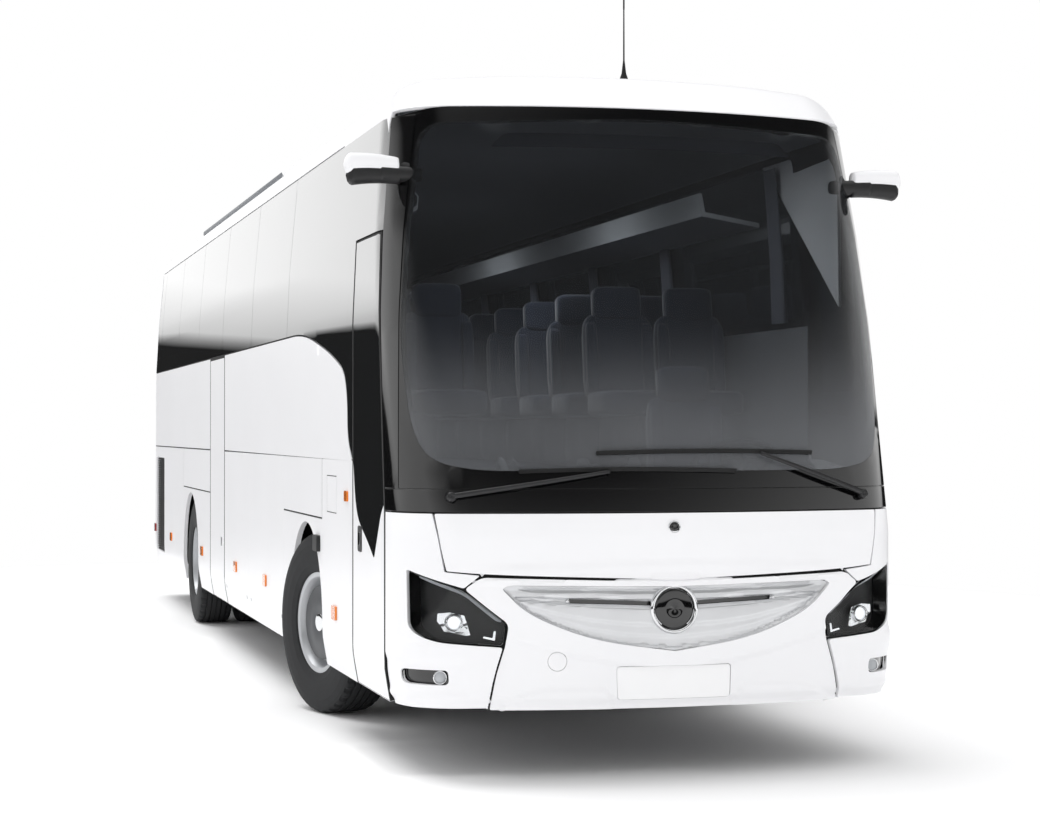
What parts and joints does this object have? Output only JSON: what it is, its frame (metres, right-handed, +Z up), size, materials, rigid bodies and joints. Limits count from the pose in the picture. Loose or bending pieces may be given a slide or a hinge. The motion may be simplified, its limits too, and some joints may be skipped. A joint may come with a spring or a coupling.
{
  "type": "touring coach bus",
  "caption": "High-floor touring coach with swinging passenger doors, luggage flaps, a steered front axle and twin rear wheels.",
  "frame": {"origin": "on the ground at mid-length and mid-width", "axes": "+X forward, +Y to the vehicle's left, +Z up"},
  "size_m": [12.295, 2.91, 3.918],
  "materials": {
    "body_paint": "gloss white",
    "black_trim": "gloss black",
    "windscreen_glass": "laminated, tinted",
    "side_glass": "dark privacy tint",
    "silver_trim": "silver paint",
    "lamp_housing": "black under clear lens",
    "tail_lens": "clear red",
    "floor_covering": "textured vinyl",
    "chassis_steel": "satin black",
    "engine_iron": "painted",
    "tyre": "matte",
    "rim_paint": "silver",
    "seat_fabric": "woven",
    "dash_plastic": "grained",
    "rack_plastic": "satin"
  },
  "bodies": {
    "coach_body": {"side_wall_right": "body_paint", "side_wall_left": "body_paint", "roof": "body_paint", "front_header": "body_paint", "rear_panel": "body_paint", "screen_surround": "black_trim", "windscreen": "windscreen_glass", "windows": "side_glass", "front_panel": "body_paint", "front_bumper": "body_paint", "bumper_corners": "body_paint", "grille": "silver_trim", "front_lamps": "lamp_housing", "tail_lamps": "tail_lens", "mirrors": "body_paint", "wipers": "black_trim", "roof_unit": "body_paint", "antenna": "black_trim", "cabin_floor": "floor_covering", "underframe": "chassis_steel", "engine": "engine_iron", "front_axle": "chassis_steel", "rear_axle": "chassis_steel", "seats": "seat_fabric", "dashboard": "dash_plastic", "luggage_racks": "rack_plastic"},
    "front_door_arm": {"front_door_arm": "chassis_steel"},
    "front_door": {"front_door": "body_paint", "front_door_glass": "side_glass"},
    "mid_door_arm": {"mid_door_arm": "chassis_steel"},
    "mid_door": {"mid_door": "body_paint"},
    "flap_right_front": {"luggage_flap_right_front": "body_paint"},
    "flap_right_rear": {"luggage_flap_right_rear": "body_paint"},
    "flap_left_front": {"luggage_flap_left_front": "body_paint"},
    "flap_left_mid": {"luggage_flap_left_mid": "body_paint"},
    "flap_left_rear": {"luggage_flap_left_rear": "body_paint"},
    "engine_lid": {"engine_lid": "body_paint"},
    "roof_hatch": {"roof_hatch": "body_paint"},
    "knuckle_left": {"knuckle_left": "chassis_steel"},
    "knuckle_right": {"knuckle_right": "chassis_steel"},
    "wheel_front_left": {"tyre_front_left": "tyre", "rim_front_left": "rim_paint"},
    "wheel_front_right": {"tyre_front_right": "tyre", "rim_front_right": "rim_paint"},
    "wheels_rear_left": {"tyres_rear_left": "tyre", "rims_rear_left": "rim_paint"},
    "wheels_rear_right": {"tyres_rear_right": "tyre", "rims_rear_right": "rim_paint"},
    "steering_wheel": {"steering_wheel": "dash_plastic"}
  },
  "joints": [
    {"name": "front_door_swing", "type": "hinge", "parent": "coach_body", "child": "front_door_arm", "pos_m": [5.4795, -1.168, 1.2], "axis": [0, 0, 1], "range_deg": [0, 100]},
    {"name": "front_door_leaf", "type": "hinge", "parent": "front_door_arm", "child": "front_door", "pos_m": [4.9395, -1.168, 1.2], "axis": [0, 0, 1], "range_deg": [-100, 0]},
    {"name": "mid_door_swing", "type": "hinge", "parent": "coach_body", "child": "mid_door_arm", "pos_m": [-1.3555, -1.168, 1.2], "axis": [0, 0, -1], "range_deg": [0, 100]},
    {"name": "mid_door_leaf", "type": "hinge", "parent": "mid_door_arm", "child": "mid_door", "pos_m": [-0.8155, -1.168, 1.2], "axis": [0, 0, -1], "range_deg": [-100, 0]},
    {"name": "flap_right_front_hinge", "type": "hinge", "parent": "coach_body", "child": "flap_right_front", "pos_m": [1.633, -1.273, 1.48], "axis": [-1, 0, 0], "range_deg": [0, 90]},
    {"name": "flap_right_rear_hinge", "type": "hinge", "parent": "coach_body", "child": "flap_right_rear", "pos_m": [0.167, -1.273, 1.48], "axis": [-1, 0, 0], "range_deg": [0, 90]},
    {"name": "flap_left_front_hinge", "type": "hinge", "parent": "coach_body", "child": "flap_left_front", "pos_m": [1.633, 1.273, 1.48], "axis": [1, 0, 0], "range_deg": [0, 90]},
    {"name": "flap_left_mid_hinge", "type": "hinge", "parent": "coach_body", "child": "flap_left_mid", "pos_m": [0.167, 1.273, 1.48], "axis": [1, 0, 0], "range_deg": [0, 90]},
    {"name": "flap_left_rear_hinge", "type": "hinge", "parent": "coach_body", "child": "flap_left_rear", "pos_m": [-0.96, 1.273, 1.48], "axis": [1, 0, 0], "range_deg": [0, 90]},
    {"name": "engine_lid_hinge", "type": "hinge", "parent": "coach_body", "child": "engine_lid", "pos_m": [-6.1205, 0, 1.5], "axis": [0, 1, 0], "range_deg": [0, 90]},
    {"name": "roof_hatch_hinge", "type": "hinge", "parent": "coach_body", "child": "roof_hatch", "pos_m": [3.0655, 0, 3.44], "axis": [0, 1, 0], "range_deg": [0, 30]},
    {"name": "steer_left", "type": "hinge", "parent": "coach_body", "child": "knuckle_left", "pos_m": [3.2825, 0.9525, 0.522], "axis": [0, 0, 1], "range_deg": [-60, 30]},
    {"name": "wheel_front_left_spin", "type": "hinge", "parent": "knuckle_left", "child": "wheel_front_left", "pos_m": [3.24368, 1.09739, 0.522], "axis": [-0.2588, 0.9659, 0], "continuous": true},
    {"name": "wheels_rear_left_spin", "type": "hinge", "parent": "coach_body", "child": "wheels_rear_left", "pos_m": [-2.8075, 1.1025, 0.522], "axis": [0, 1, 0], "continuous": true},
    {"name": "steer_right", "type": "hinge", "parent": "coach_body", "child": "knuckle_right", "pos_m": [3.2825, -0.9525, 0.522], "axis": [0, 0, 1], "range_deg": [-60, 30]},
    {"name": "wheel_front_right_spin", "type": "hinge", "parent": "knuckle_right", "child": "wheel_front_right", "pos_m": [3.32132, -1.09739, 0.522], "axis": [-0.2588, 0.9659, 0], "continuous": true},
    {"name": "wheels_rear_right_spin", "type": "hinge", "parent": "coach_body", "child": "wheels_rear_right", "pos_m": [-2.8075, -1.1025, 0.522], "axis": [0, 1, 0], "continuous": true},
    {"name": "steering_wheel_turn", "type": "hinge", "parent": "coach_body", "child": "steering_wheel", "pos_m": [5.1625, 0.65, 1.47], "axis": [-0.5, 0, 0.866], "range_deg": [-1080, 540]}
  ],
  "couplings": [
    {"joint": "front_door_leaf", "follows": "front_door_swing", "ratio": -1},
    {"joint": "mid_door_leaf", "follows": "mid_door_swing", "ratio": -1},
    {"joint": "steer_right", "follows": "steer_left", "ratio": 1},
    {"joint": "steering_wheel_turn", "follows": "steer_left", "ratio": 18}
  ]
}
